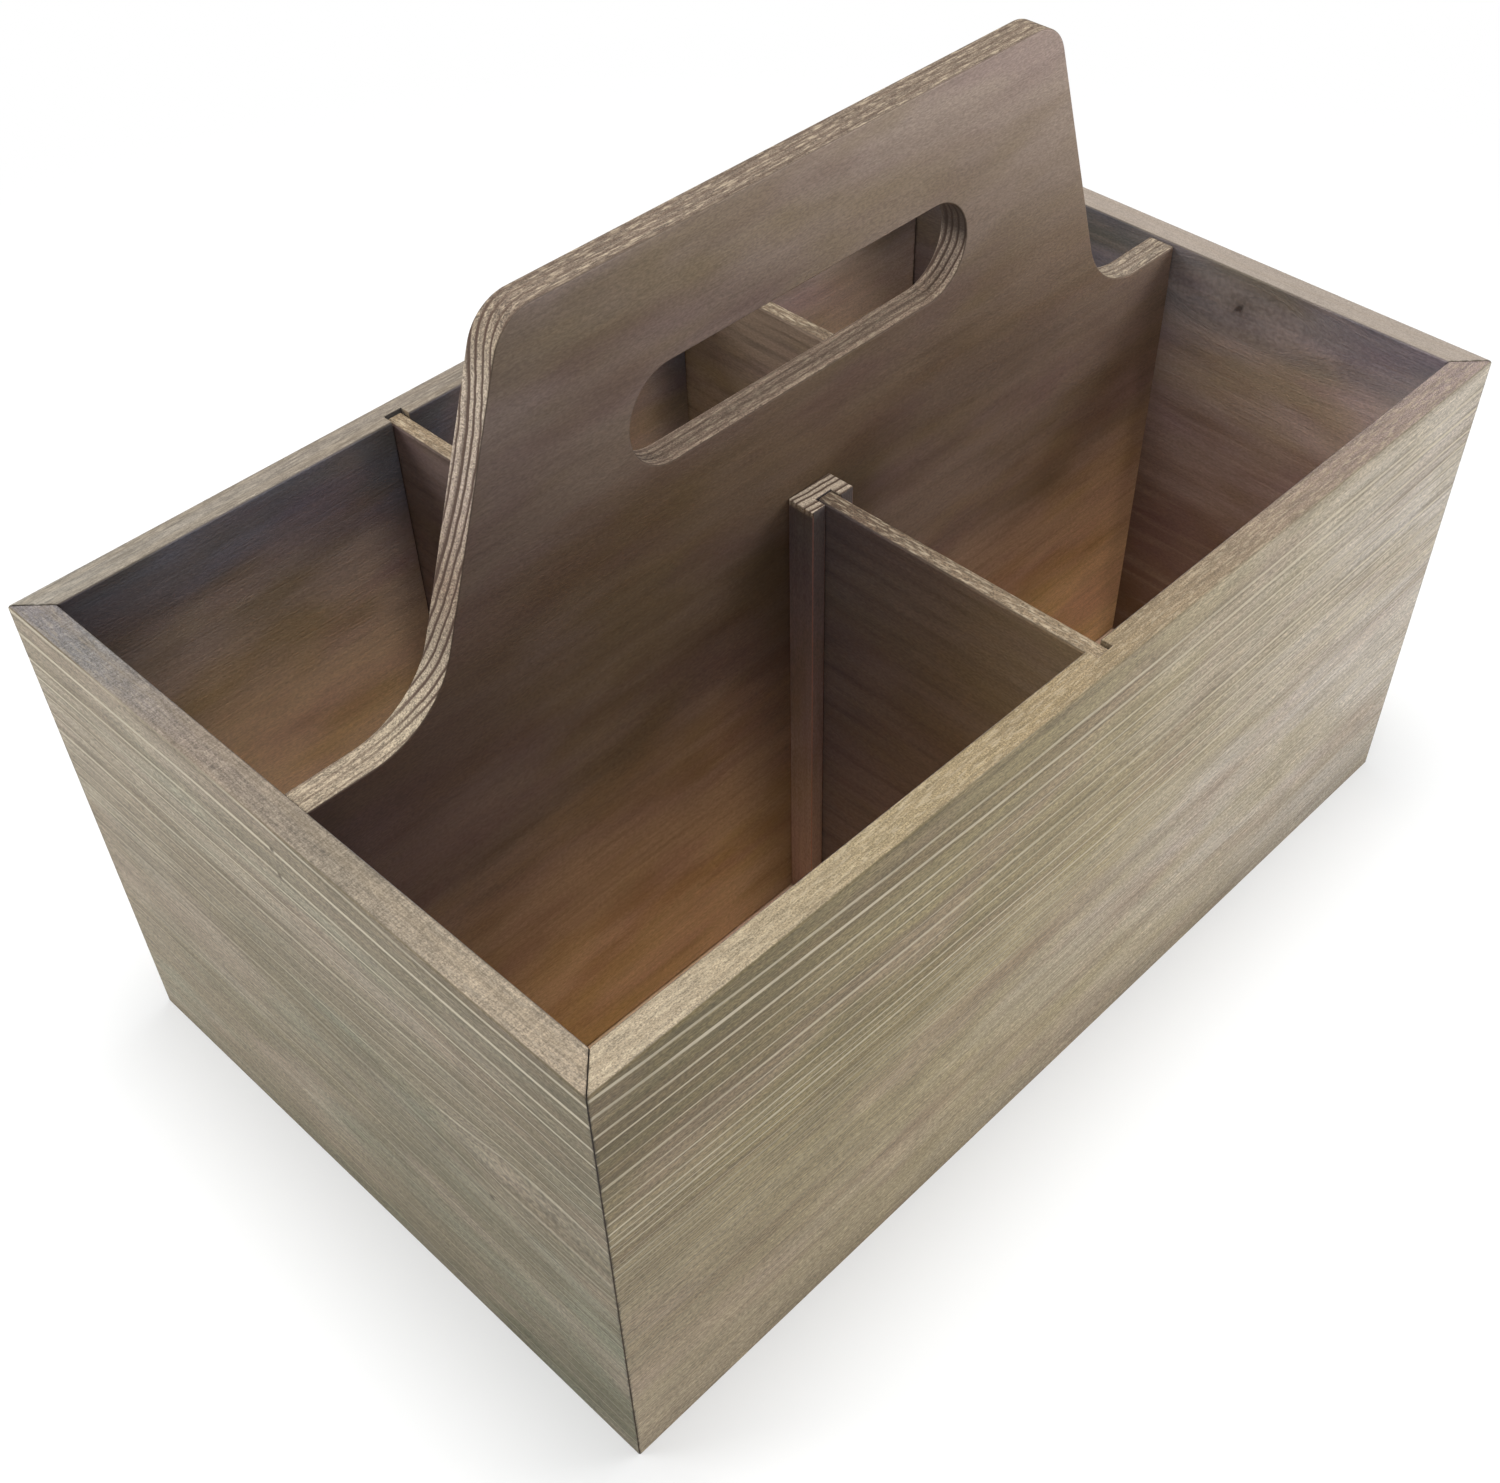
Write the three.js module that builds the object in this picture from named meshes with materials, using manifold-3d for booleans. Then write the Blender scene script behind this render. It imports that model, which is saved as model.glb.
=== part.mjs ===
// A wooden table caddy: four mitred walls round a base panel, a full-length
// handle board down the middle, and three thin dividers that lift out of their
// grooves. X runs along the caddy, Y from its front to its back and Z up, with
// the origin under its middle on the table. Every length is in millimetres.

import * as THREE from 'three';
import { mergeVertices } from 'three/addons/utils/BufferGeometryUtils.js';
import Module from 'manifold-3d';

const wasm = await Module();
wasm.setup();

// Driving dimensions of the box
const caddyLength = 330;
const caddyWidth = 205;
const wallHeight = 154;
const wallThickness = 8.5;
const basePanelThickness = 5;
const baseRebateDepth = 4.5;

// Driving dimensions of the handle board
const boardThickness = 8.5;
const boardRise = 88;
const boardTopRadius = 12;
const boardSlope = THREE.MathUtils.degToRad(19.5);
const shoulderFlat = 18;
const shoulderRadius = 26;
const shoulderDrop = 1;
const slotLength = 115;
const slotHeight = 26;
const slotMargin = 31;
const tongueLength = 3;
const tongueDrop = 12;

// Driving dimensions of the dividers and what guides them
const dividerThickness = 5;
const grooveDepth = 3.4;
const cleatWidth = 15;
const cleatThickness = 8.5;

// Fits and edges
const glueGap = 0.3;
const slideClearance = 0.3;
const endClearance = 0.4;
const arrisRadius = 0.8;
const fineArris = 0.4;
const cutOverrun = 2;
const arcSteps = 20;
const arrisSteps = 3;

// Weathered grey-brown stain, paler on the sanded edges of the thin pieces
const stainOutside = 0x8d8070;
const stainBoard = 0x8a7560;
const stainThin = 0x9b8c78;
const stainBase = 0x7b5f45;
const stainRoughness = 0.72;

// Sizes that follow from the driving ones
const innerLength = caddyLength - 2 * wallThickness;
const innerHalfWidth = caddyWidth / 2 - wallThickness;
const floorHeight = basePanelThickness;
const standHeight = floorHeight + glueGap;
const shoulderHeight = wallHeight - shoulderDrop;
const boardTopHeight = wallHeight + boardRise;
const slotCentreHeight = boardTopHeight - slotMargin - slotHeight / 2;
const grooveWidth = dividerThickness + 2 * slideClearance;
const tongueTop = shoulderHeight - tongueDrop;
const quarterTurn = Math.PI / 2;
const halfTurn = Math.PI;

// Geometry in and out of solids for the joinery cuts
function toSolid(geometry) {
  geometry.deleteAttribute('normal');
  geometry.deleteAttribute('uv');
  const merged = mergeVertices(geometry);
  const vertProperties = new Float32Array(merged.attributes.position.array);
  const triVerts = new Uint32Array(merged.index.array);
  return new wasm.Manifold(new wasm.Mesh({ numProp: 3, vertProperties, triVerts }));
}

function toGeometry(solid) {
  const mesh = solid.getMesh();
  const geometry = new THREE.BufferGeometry();
  geometry.setAttribute('position', new THREE.BufferAttribute(mesh.vertProperties, mesh.numProp));
  geometry.setIndex(new THREE.BufferAttribute(mesh.triVerts, 1));
  geometry.computeVertexNormals();
  return geometry;
}

// A straight-sided cut between two opposite corners
function boxBetween(low, high) {
  const box = new THREE.BoxGeometry(high[0] - low[0], high[1] - low[1], high[2] - low[2]);
  box.translate((low[0] + high[0]) / 2, (low[1] + high[1]) / 2, (low[2] + high[2]) / 2);
  return toSolid(box);
}

// An upright prism over a plan outline, from one height to another
function prism(outline, low, high) {
  const geometry = new THREE.ExtrudeGeometry(outline, { depth: high - low, bevelEnabled: false });
  geometry.translate(0, 0, low);
  return toSolid(geometry);
}

// The section of a wall, with its outer face on the left: the top edges are
// eased by hand sanding, and a rebate at the inner foot takes the base panel
function wallSection() {
  const section = new THREE.Shape();
  const ledge = floorHeight + glueGap;
  section.moveTo(fineArris, 0);
  section.lineTo(wallThickness - baseRebateDepth, 0);
  section.lineTo(wallThickness - baseRebateDepth, ledge);
  section.lineTo(wallThickness, ledge);
  section.lineTo(wallThickness, wallHeight - arrisRadius);
  section.absarc(wallThickness - arrisRadius, wallHeight - arrisRadius, arrisRadius, 0, quarterTurn);
  section.lineTo(arrisRadius, wallHeight);
  section.absarc(arrisRadius, wallHeight - arrisRadius, arrisRadius, quarterTurn, halfTurn);
  section.lineTo(0, fineArris);
  section.absarc(fineArris, fineArris, fineArris, halfTurn, 3 * quarterTurn);
  return section;
}

// The plan of a wall whose ends are cut at 45 degrees, each side of a mitre
// giving up half of the glue line
function mitredPlan(length) {
  const halfLine = (glueGap / 2) * Math.SQRT2;
  const outerHalf = length / 2 - halfLine;
  const innerHalf = outerHalf - wallThickness;
  const pastOuter = outerHalf + cutOverrun;
  const pastInner = innerHalf - cutOverrun;
  const plan = new THREE.Shape();
  plan.moveTo(-pastOuter, -cutOverrun);
  plan.lineTo(pastOuter, -cutOverrun);
  plan.lineTo(pastInner, wallThickness + cutOverrun);
  plan.lineTo(-pastInner, wallThickness + cutOverrun);
  plan.closePath();
  return plan;
}

// A wall lies along X with its outer face on Y = 0 and its inner face towards +Y
function mitredWall(length) {
  const geometry = new THREE.ExtrudeGeometry(wallSection(), {
    depth: length,
    bevelEnabled: false,
    curveSegments: arrisSteps,
  });
  const inwards = new THREE.Vector3(0, 1, 0);
  const upwards = new THREE.Vector3(0, 0, 1);
  const along = new THREE.Vector3(1, 0, 0);
  geometry.applyMatrix4(new THREE.Matrix4().makeBasis(inwards, upwards, along));
  geometry.translate(-length / 2, 0, 0);
  return toSolid(geometry).intersect(prism(mitredPlan(length), -cutOverrun, wallHeight + cutOverrun));
}

// A long wall has an upright groove, open at the top, for each divider
function longWall(grooveCentres) {
  return grooveCentres.reduce((wall, centre) => {
    const low = [centre - grooveWidth / 2, wallThickness - grooveDepth, -cutOverrun];
    const high = [centre + grooveWidth / 2, wallThickness + cutOverrun, wallHeight + cutOverrun];
    return wall.subtract(boxBetween(low, high));
  }, mitredWall(caddyLength));
}

// An end wall has a stopped housing at mid-width for the handle board's tongue
function endWall() {
  const halfHousing = boardThickness / 2 + glueGap;
  const low = [-halfHousing, wallThickness - tongueLength - glueGap, -cutOverrun];
  const high = [halfHousing, wallThickness + cutOverrun, tongueTop + glueGap];
  return mitredWall(caddyWidth).subtract(boxBetween(low, high));
}

// The base panel lies in the rebates, flush with the feet of the walls
function basePanel() {
  const inset = wallThickness - baseRebateDepth + glueGap;
  const halfLength = caddyLength / 2 - inset;
  const halfWidth = caddyWidth / 2 - inset;
  const plan = new THREE.Shape();
  plan.moveTo(-halfLength, -halfWidth);
  plan.lineTo(halfLength, -halfWidth);
  plan.lineTo(halfLength, halfWidth);
  plan.lineTo(-halfLength, halfWidth);
  plan.closePath();
  const geometry = new THREE.ExtrudeGeometry(plan, {
    depth: basePanelThickness - 2 * fineArris,
    bevelThickness: fineArris,
    bevelSize: fineArris,
    bevelOffset: -fineArris,
    bevelSegments: 1,
  });
  geometry.translate(0, 0, fineArris);
  return toSolid(geometry);
}

// Where a straight line leaning by the slope leaves a round corner of a radius
function cornerSetback(radius) {
  return radius * Math.tan((quarterTurn - boardSlope) / 2);
}

// The handle board seen from the front: tongues at both ends, shoulders just
// under the wall tops, concave corners up to sloping sides, and a round-cornered
// top with an oblong hand slot
function boardOutline() {
  const shoulderEnd = innerLength / 2 - glueGap;
  const tongueEnd = shoulderEnd + tongueLength;
  const sweepX = shoulderEnd - shoulderFlat;
  const sweepZ = shoulderHeight + shoulderRadius;
  const slopeFoot = sweepX - cornerSetback(shoulderRadius);
  const slopeHead = slopeFoot - (boardTopHeight - shoulderHeight) * Math.tan(boardSlope);
  const crownX = slopeHead - cornerSetback(boardTopRadius);
  const crownZ = boardTopHeight - boardTopRadius;
  const outline = new THREE.Shape();
  outline.moveTo(-tongueEnd, standHeight);
  outline.lineTo(tongueEnd, standHeight);
  outline.lineTo(tongueEnd, tongueTop);
  outline.lineTo(shoulderEnd, tongueTop);
  outline.lineTo(shoulderEnd, shoulderHeight);
  outline.absarc(sweepX, sweepZ, shoulderRadius, -quarterTurn, -halfTurn + boardSlope, true);
  outline.absarc(crownX, crownZ, boardTopRadius, boardSlope, quarterTurn, false);
  outline.absarc(-crownX, crownZ, boardTopRadius, quarterTurn, halfTurn - boardSlope, false);
  outline.absarc(-sweepX, sweepZ, shoulderRadius, -boardSlope, -quarterTurn, true);
  outline.lineTo(-shoulderEnd, shoulderHeight);
  outline.lineTo(-shoulderEnd, tongueTop);
  outline.lineTo(-tongueEnd, tongueTop);
  outline.closePath();
  outline.holes.push(slotOutline());
  return outline;
}

function slotOutline() {
  const slotRadius = slotHeight / 2;
  const slotReach = slotLength / 2 - slotRadius;
  const slot = new THREE.Path();
  slot.absarc(slotReach, slotCentreHeight, slotRadius, -quarterTurn, quarterTurn, false);
  slot.absarc(-slotReach, slotCentreHeight, slotRadius, quarterTurn, 3 * quarterTurn, false);
  slot.closePath();
  return slot;
}

function handleBoard() {
  const geometry = new THREE.ExtrudeGeometry(boardOutline(), {
    depth: boardThickness - 2 * arrisRadius,
    bevelThickness: arrisRadius,
    bevelSize: arrisRadius,
    bevelOffset: -arrisRadius,
    bevelSegments: arrisSteps,
    curveSegments: arcSteps,
  });
  geometry.rotateX(quarterTurn);
  geometry.translate(0, boardThickness / 2 - arrisRadius, 0);
  return toSolid(geometry);
}

// A cleat stands against the handle board from the base panel to the shoulders.
// Its groove faces away from the board, which is towards -Y here
function cleat() {
  const halfWidth = cleatWidth / 2;
  const halfGroove = grooveWidth / 2;
  const plan = new THREE.Shape();
  plan.moveTo(-halfWidth, -cleatThickness);
  plan.lineTo(-halfGroove, -cleatThickness);
  plan.lineTo(-halfGroove, -cleatThickness + grooveDepth);
  plan.lineTo(halfGroove, -cleatThickness + grooveDepth);
  plan.lineTo(halfGroove, -cleatThickness);
  plan.lineTo(halfWidth, -cleatThickness);
  plan.lineTo(halfWidth, 0);
  plan.lineTo(-halfWidth, 0);
  plan.closePath();
  const geometry = new THREE.ExtrudeGeometry(plan, {
    depth: shoulderHeight - standHeight - 2 * fineArris,
    bevelThickness: fineArris,
    bevelSize: fineArris,
    bevelOffset: -fineArris,
    bevelSegments: 1,
  });
  geometry.translate(0, 0, standHeight + fineArris);
  return toSolid(geometry);
}

// A divider stands on the base panel, one edge in a wall groove and the other in
// a cleat groove, with its top edges eased for the fingers that lift it
function divider() {
  const wallEnd = innerHalfWidth + grooveDepth - endClearance;
  const cleatFace = boardThickness / 2 + glueGap + cleatThickness;
  const cleatEnd = cleatFace - grooveDepth + endClearance;
  const halfThickness = dividerThickness / 2;
  const section = new THREE.Shape();
  section.moveTo(-halfThickness, standHeight);
  section.lineTo(halfThickness, standHeight);
  const easeZ = shoulderHeight - arrisRadius;
  section.absarc(halfThickness - arrisRadius, easeZ, arrisRadius, 0, quarterTurn);
  section.absarc(-halfThickness + arrisRadius, easeZ, arrisRadius, quarterTurn, halfTurn);
  section.closePath();
  const geometry = new THREE.ExtrudeGeometry(section, {
    depth: wallEnd - cleatEnd,
    bevelEnabled: false,
    curveSegments: arrisSteps,
  });
  geometry.rotateX(quarterTurn);
  geometry.translate(0, -cleatEnd, 0);
  return toSolid(geometry);
}

// Dividers of a row stand so that all its compartments are equally long
function rowPlaces(count) {
  const compartment = (innerLength - count * dividerThickness) / (count + 1);
  return Array.from({ length: count }, (unused, index) => {
    const passed = (index + 1) * compartment + index * dividerThickness;
    return passed + dividerThickness / 2 - innerLength / 2;
  });
}

const caddy = new THREE.Group();

function addPiece(name, solid, colour, place, turn) {
  const material = new THREE.MeshStandardMaterial({
    color: colour,
    roughness: stainRoughness,
    metalness: 0,
  });
  const piece = new THREE.Mesh(toGeometry(solid), material);
  piece.name = name;
  piece.position.set(place[0], place[1], place[2]);
  piece.rotation.z = turn;
  caddy.add(piece);
}

const [frontPlace] = rowPlaces(1);
const [backLeftPlace, backRightPlace] = rowPlaces(2);
const backWall = longWall([-backLeftPlace, -backRightPlace]);

// The walls go round the base panel, the back one turned to face the front one
addPiece('base_panel', basePanel(), stainBase, [0, 0, 0], 0);
addPiece('front_wall', longWall([frontPlace]), stainOutside, [0, -caddyWidth / 2, 0], 0);
addPiece('back_wall', backWall, stainOutside, [0, caddyWidth / 2, 0], halfTurn);
addPiece('left_end_wall', endWall(), stainOutside, [-caddyLength / 2, 0, 0], -quarterTurn);
addPiece('right_end_wall', endWall(), stainOutside, [caddyLength / 2, 0, 0], quarterTurn);
addPiece('handle_board', handleBoard(), stainBoard, [0, 0, 0], 0);

// Each divider has a cleat on its side of the handle board
const boardFace = boardThickness / 2 + glueGap;
addPiece('front_cleat', cleat(), stainThin, [frontPlace, -boardFace, 0], 0);
addPiece('back_left_cleat', cleat(), stainThin, [backLeftPlace, boardFace, 0], halfTurn);
addPiece('back_right_cleat', cleat(), stainThin, [backRightPlace, boardFace, 0], halfTurn);
addPiece('front_divider', divider(), stainThin, [frontPlace, 0, 0], 0);
addPiece('back_left_divider', divider(), stainThin, [backLeftPlace, 0, 0], halfTurn);
addPiece('back_right_divider', divider(), stainThin, [backRightPlace, 0, 0], halfTurn);

export default caddy;
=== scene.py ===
import math

import bmesh
import bpy
from mathutils import Matrix, Quaternion, Vector


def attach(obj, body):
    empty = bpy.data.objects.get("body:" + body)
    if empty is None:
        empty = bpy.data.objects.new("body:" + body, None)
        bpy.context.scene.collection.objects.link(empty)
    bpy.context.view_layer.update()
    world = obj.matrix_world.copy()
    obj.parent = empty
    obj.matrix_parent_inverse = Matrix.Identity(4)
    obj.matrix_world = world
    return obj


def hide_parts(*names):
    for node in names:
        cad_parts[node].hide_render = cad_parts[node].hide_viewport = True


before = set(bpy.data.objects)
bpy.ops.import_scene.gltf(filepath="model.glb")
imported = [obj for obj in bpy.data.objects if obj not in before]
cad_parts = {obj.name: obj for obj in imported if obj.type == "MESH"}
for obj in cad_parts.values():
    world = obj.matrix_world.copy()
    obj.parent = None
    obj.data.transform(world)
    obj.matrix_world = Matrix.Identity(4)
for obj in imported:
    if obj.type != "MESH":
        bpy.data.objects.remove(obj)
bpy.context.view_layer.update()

# Front and back walls
# Planed softwood boards, mitred at both ends and glued into a box. Each has an
# upright groove in its inner face for every divider that it guides, and a
# rebate round its foot takes the base panel. The top arrises are eased by hand.
MM = 0.001
CADDY_LENGTH = 330
CADDY_WIDTH = 205
WALL_HEIGHT = 154
WALL_THICKNESS = 8.5
REBATE_DEPTH = 4.5
BASE_THICKNESS = 5
GLUE_LINE = 0.3
GROOVE_DEPTH = 3.4
GROOVE_WIDTH = 5.6
MITRE_LINE = 0.05
EASED_ARRIS = 0.7
CRISP_ARRIS = 0.2
ARRIS_STEPS = 3
SHARP_TURN = math.radians(40)
SAME_PLACE = 0.001
STRAIGHT_SHARE = 0.9
DIVIDER_THICKNESS = 5
INNER_LENGTH = CADDY_LENGTH - 2 * WALL_THICKNESS
LEDGE_HEIGHT = BASE_THICKNESS + GLUE_LINE


def row_places(count):
    """Where the dividers of a row stand, so that its compartments are equally long."""
    compartment = (INNER_LENGTH - count * DIVIDER_THICKNESS) / (count + 1)
    step = compartment + DIVIDER_THICKNESS
    return [step * (index + 1) - DIVIDER_THICKNESS / 2 - INNER_LENGTH / 2 for index in range(count)]


def corners_of(parts):
    return [part for part in parts if isinstance(part, bmesh.types.BMVert)]


def raise_outline(bm, faces, way):
    """Raises a flat outline into a solid board, by the way that it goes."""
    raised = bmesh.ops.extrude_face_region(bm, geom=faces)["geom"]
    bmesh.ops.translate(bm, verts=corners_of(raised), vec=way)


def mark_board(bm, place, facing):
    """Marks a board along a plane, so that what lies beyond the line can be worked by itself."""
    everything = bm.verts[:] + bm.edges[:] + bm.faces[:]
    bmesh.ops.bisect_plane(bm, geom=everything, dist=SAME_PLACE, plane_co=place, plane_no=facing)


def ease(bm, edges, width, steps):
    """Rounds edges off as sanding does."""
    bmesh.ops.bevel(
        bm, geom=edges, offset=width, offset_type="OFFSET", affect="EDGES", segments=steps,
        profile=0.5, material=-1, clamp_overlap=True,
    )


def sharp_edges(bm):
    return [edge for edge in bm.edges if len(edge.link_faces) == 2 and edge.calc_face_angle() > SHARP_TURN]


def wall_board(length, groove_places):
    """A wall lying along X, with its outer face on Y = 0 and its inner face towards +Y."""
    outer = length / 2 - MITRE_LINE
    inner = outer - WALL_THICKNESS
    half_groove = GROOVE_WIDTH / 2
    bottom = WALL_THICKNESS - GROOVE_DEPTH
    plan = [(-inner, WALL_THICKNESS), (-outer, 0), (outer, 0), (inner, WALL_THICKNESS)]
    for place in sorted(groove_places, reverse=True):
        right, left = place + half_groove, place - half_groove
        plan += [(right, WALL_THICKNESS), (right, bottom), (left, bottom), (left, WALL_THICKNESS)]
    bm = bmesh.new()
    bm.faces.new([bm.verts.new((x, y, LEDGE_HEIGHT)) for x, y in plan])
    raise_outline(bm, bm.faces[:], (0, 0, WALL_HEIGHT - LEDGE_HEIGHT))
    bmesh.ops.recalc_face_normals(bm, faces=bm.faces)
    rebate = WALL_THICKNESS - REBATE_DEPTH
    mark_board(bm, (0, rebate, 0), (0, 1, 0))
    foot = [
        face for face in bm.faces
        if face.normal.z < -STRAIGHT_SHARE and face.calc_center_median().y < rebate
    ]
    raise_outline(bm, foot, (0, 0, -LEDGE_HEIGHT))
    top_arrises = [
        edge for edge in sharp_edges(bm)
        if all(corner.co.z > WALL_HEIGHT - SAME_PLACE for corner in edge.verts)
        and abs((edge.verts[0].co - edge.verts[1].co).normalized().x) > STRAIGHT_SHARE
        and abs(edge.verts[0].co.y - bottom) > SAME_PLACE
    ]
    ease(bm, top_arrises, EASED_ARRIS, ARRIS_STEPS)
    ease(bm, sharp_edges(bm), CRISP_ARRIS, 1)
    return bm


def finish_piece(bm, name, place, turn, body, node, finish, wood):
    """Puts a piece in its place, in metres, gives it its wood and tells the frame about it."""
    bmesh.ops.recalc_face_normals(bm, faces=bm.faces)
    bm.transform(Matrix.Translation(place) @ Matrix.Rotation(turn, 4, "Z"))
    bm.transform(Matrix.Scale(MM, 4))
    mesh = bpy.data.meshes.new(name)
    bm.to_mesh(mesh)
    bm.free()
    mesh.shade_smooth()
    piece = bpy.data.objects.new(name, mesh)
    bpy.context.scene.collection.objects.link(piece)
    weighted = piece.modifiers.new("planed faces stay flat", "WEIGHTED_NORMAL")
    weighted.keep_sharp = True
    mesh.materials.append(stained_softwood(finish, wood))
    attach(piece, body)
    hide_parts(node)


def colour(code):
    """An sRGB hex colour as linear light."""
    parts = [int(code[place:place + 2], 16) / 255 for place in (1, 3, 5)]
    linear = [part / 12.92 if part < 0.04045 else ((part + 0.055) / 1.055) ** 2.4 for part in parts]
    return (*linear, 1)


def add(tree, kind, feeds=None, out=0, stops=None, **settings):
    """Adds a node with its settings. A feed is a socket to link or a plain value. From and To are fed
    with a pair, the two ends of a range."""
    node = tree.nodes.new("ShaderNode" + kind)
    for name, value in settings.items():
        setattr(node, name, value)
    feeds = dict(feeds or {})
    for side in ("From", "To"):
        if side in feeds:
            feeds[side + " Min"], feeds[side + " Max"] = feeds.pop(side)
    for socket, value in feeds.items():
        free = [entry for entry in node.inputs if entry.enabled]
        entry = free[socket] if isinstance(socket, int) else next(e for e in free if e.name == socket)
        if isinstance(value, bpy.types.NodeSocket):
            tree.links.new(value, entry)
        else:
            entry.default_value = value
    if stops:
        ramp = node.color_ramp
        ramp.elements[0].position, ramp.elements[1].position = stops[0][0], stops[-1][0]
        ramp.elements[0].color, ramp.elements[1].color = colour(stops[0][1]), colour(stops[-1][1])
        for position, code in stops[1:-1]:
            ramp.elements.new(position).color = colour(code)
    return [socket for socket in node.outputs if socket.enabled][out]


# How far the patterns of the wood reach along the grain and across it, in mm, and their finer detail.
# Real fibres and pores are under 0.1 mm wide and would not show, so they are drawn coarser. The first
# ones sway with the grain. The others come from the stain, the planer and the sandpaper.
SWAYING_PATTERNS = {
    "fibre": (14, 0.7, 3), "pore": (1.1, 0.38, 1), "chip": (3.5, 0.6, 1), "streak": (150, 7, 2),
    "wisp": (40, 3, 2),
}
STRAIGHT_PATTERNS = {
    "grit": (0.5, 0.3, 1), "patch": (120, 30, 2), "cloud": (26, 11, 2), "saw mark": (0.55, 9, 1),
}
SWAY_PATTERN = (190, 60, 1)
SHIVER_PATTERN = (40, 6, 1)
HUE_PATTERN = (55, 20, 2)
SHIVER = 0.8
ROUGHNESS_SHARE = 0.6
NOISE_SHARES = (0.3, 0.7)
NOISE_MIDDLE_SHARE = 0.5
FLECK_SHARES = (0.5, 0.68)


def streaks(tree, place, length, width, detail, out=0):
    """Cloudy streaks that are drawn out along the grain, by their length and width in mm."""
    drawn = add(tree, "VectorMath", {0: place, 1: (1 / length, 1 / width, 1 / width)}, operation="MULTIPLY")
    return add(tree, "TexNoise", {"Vector": drawn, "Scale": 1, "Detail": detail,
                                  "Roughness": ROUGHNESS_SHARE}, out=out)


def lean(tree, grain, slope, start):
    """A value that rises steadily over the caddy, by its slope per metre along X, Y and Z."""
    rise = add(tree, "VectorMath", {0: grain["place"], 1: slope}, operation="DOT_PRODUCT")
    return add(tree, "Math", {0: rise, 1: start}, operation="ADD")


def cover(tree, under, over, share):
    """Lays a colour, given as a hex code or a socket, over another by a share."""
    over = colour(over) if isinstance(over, str) else over
    return add(tree, "Mix", {"Factor": share, "A": under, "B": over}, data_type="RGBA")


def tint(tree, under, code, pattern, low, high, most):
    """Lays a colour over another where a pattern is strong, up to a share."""
    share = add(tree, "MapRange", {"Value": pattern, "From": (low, high), "To Max": most})
    return cover(tree, under, code, share)


def speckle(tree, under, pattern, reach):
    """Lightens and darkens a colour evenly with a pattern, by a share of its own brightness."""
    factor = add(tree, "MapRange", {"Value": pattern, "From": NOISE_SHARES, "To": (1 - reach, 1 + reach)})
    return add(tree, "VectorMath", {0: under, "Scale": factor}, operation="SCALE")


KNOT_STRETCH_SHARES = (0.4, 1, 0)
PUSH_LIMIT_SHARE = 0.7


def push_aside(tree, stick, middle, reach, push):
    """Bends the grain round a knot, as if the knot had pushed it aside, and further along the grain
    than across it. A push is kept shorter than the way to the knot, so that no ring folds over."""
    off = add(tree, "VectorMath", {0: stick, 1: middle}, operation="SUBTRACT")
    off = add(tree, "VectorMath", {0: off, 1: KNOT_STRETCH_SHARES}, operation="MULTIPLY")
    away = add(tree, "VectorMath", {0: off}, operation="LENGTH")
    pushed = add(tree, "MapRange", {"Value": away, "From Max": reach, "To": (push, 0)},
                 interpolation_type="SMOOTHSTEP")
    limit = add(tree, "Math", {0: away, 1: PUSH_LIMIT_SHARE}, operation="MULTIPLY")
    pushed = add(tree, "Math", {0: pushed, 1: limit}, operation="MINIMUM")
    way = add(tree, "VectorMath", {0: off}, operation="NORMALIZE")
    back = add(tree, "VectorMath", {0: way, "Scale": pushed}, operation="SCALE")
    return add(tree, "VectorMath", {0: stick, 1: back}, operation="SUBTRACT")


def bend_grain(tree, stick, wood, rows):
    """Bows the grain over the length of the board, and leads it round the knots."""
    bow_middle, bow = wood["bow"]
    run = add(tree, "SeparateXYZ", {0: stick}, out=0)
    bend = add(tree, "Math", {0: run, 1: bow_middle}, operation="SUBTRACT")
    bend = add(tree, "Math", {0: bend, 1: 2}, operation="POWER")
    bend = add(tree, "Math", {0: bend, 1: bow}, operation="MULTIPLY")
    bent = add(tree, "VectorMath", {0: stick, 1: add(tree, "CombineXYZ", {"Y": bend})}, operation="ADD")
    for middle, size, reach, push in wood["knots"]:
        bent = push_aside(tree, bent, rows @ (Vector(middle) - Vector(wood["heart"])), reach, push)
    return bent


YEAR_STEP_SHARE = 0.7
YEAR_REACH_SHARE = 0.8
HALF_SLOWING = 4


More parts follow.
